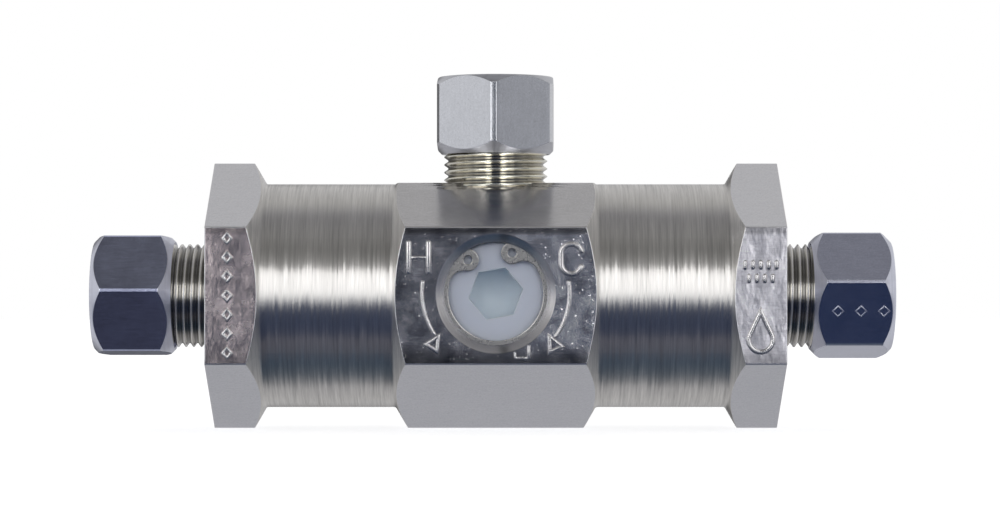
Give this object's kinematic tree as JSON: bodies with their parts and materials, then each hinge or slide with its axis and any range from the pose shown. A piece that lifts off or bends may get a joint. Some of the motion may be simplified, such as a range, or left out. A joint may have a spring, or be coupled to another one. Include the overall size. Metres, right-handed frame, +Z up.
{
  "type": "three way mixing valve",
  "caption": "Three way mixing valve: hexagonal bar body with hot and cold compression inlets, a mixed outlet on top and a hex key adjuster in the front face.",
  "frame": {"origin": "centre of the rear face of the middle hexagonal block, on the body's centre lines", "axes": "+X along the body from the hot inlet to the cold inlet, +Y out of the rear face, away from the adjuster, +Z up through the outlet"},
  "size_m": [0.1098, 0.0321, 0.0485],
  "materials": {
    "nickel_plate": "satin",
    "nickel_thread": "satin",
    "chrome_plate": "polished",
    "plain_brass": "satin",
    "steel": "satin",
    "white_acetal": "satin",
    "black_plastic": "matte",
    "black_rubber": "matte"
  },
  "bodies": {
    "housing": {"valve_body": "nickel_plate", "stop_pin": "steel", "retaining_ring": "steel", "hot_check_cage": "black_plastic", "hot_check_seat": "plain_brass", "hot_check_o_ring": "black_rubber", "hot_check_spring": "steel", "hot_nipple": "nickel_thread", "cold_check_cage": "black_plastic", "cold_check_seat": "plain_brass", "cold_check_o_ring": "black_rubber", "cold_check_spring": "steel", "cold_nipple": "nickel_thread", "outlet_nipple": "nickel_thread"},
    "adjuster": {"mixing_spindle": "white_acetal", "spindle_front_o_ring": "black_rubber", "spindle_rear_o_ring": "black_rubber"},
    "hot_check": {"hot_check_poppet": "white_acetal", "hot_check_seal": "black_rubber"},
    "cold_check": {"cold_check_poppet": "white_acetal", "cold_check_seal": "black_rubber"},
    "hot_sleeve": {"hot_ferrule": "plain_brass"},
    "hot_union_nut": {"hot_nut": "chrome_plate"},
    "cold_sleeve": {"cold_ferrule": "plain_brass"},
    "cold_union_nut": {"cold_nut": "chrome_plate"},
    "outlet_sleeve": {"outlet_ferrule": "plain_brass"},
    "outlet_union_nut": {"outlet_nut": "chrome_plate"}
  },
  "joints": [
    {"name": "spindle_turn", "type": "hinge", "parent": "housing", "child": "adjuster", "pos_m": [0, -0.01588, 0.0003], "axis": [0, -1, 0], "range_deg": [-40, 40]},
    {"name": "hot_check_slide", "type": "slide", "parent": "housing", "child": "hot_check", "axis": [1, 0, 0], "range_m": [0, 0.002], "stiffness_N_per_m": 250, "springref_m": -0.004, "deforming": ["hot_check_spring"]},
    {"name": "cold_check_slide", "type": "slide", "parent": "housing", "child": "cold_check", "axis": [-1, 0, 0], "range_m": [0, 0.002], "stiffness_N_per_m": 250, "springref_m": -0.004, "deforming": ["cold_check_spring"]},
    {"name": "hot_nut_travel", "type": "slide", "parent": "housing", "child": "hot_sleeve", "axis": [-1, 0, 0], "range_m": [0, 0.00635]},
    {"name": "hot_nut_turn", "type": "hinge", "parent": "hot_sleeve", "child": "hot_union_nut", "pos_m": [-0.04426, -0.01588, 0], "axis": [-1, 0, 0], "range_deg": [0, 2160.2]},
    {"name": "cold_nut_travel", "type": "slide", "parent": "housing", "child": "cold_sleeve", "axis": [1, 0, 0], "range_m": [0, 0.00635]},
    {"name": "cold_nut_turn", "type": "hinge", "parent": "cold_sleeve", "child": "cold_union_nut", "pos_m": [0.0434, -0.01588, 0], "axis": [1, 0, 0], "range_deg": [0, 2160.2]},
    {"name": "outlet_nut_travel", "type": "slide", "parent": "housing", "child": "outlet_sleeve", "axis": [0, 0, 1], "range_m": [0, 0.00635]},
    {"name": "outlet_nut_turn", "type": "hinge", "parent": "outlet_sleeve", "child": "outlet_union_nut", "pos_m": [0, -0.01588, 0.0195], "axis": [0, 0, 1], "range_deg": [0, 2160.2]}
  ],
  "couplings": [
    {"joint": "hot_nut_turn", "follows": "hot_nut_travel", "rad_per_m": 5937.1},
    {"joint": "cold_nut_turn", "follows": "cold_nut_travel", "rad_per_m": 5937.1},
    {"joint": "outlet_nut_turn", "follows": "outlet_nut_travel", "rad_per_m": 5937.1}
  ]
}
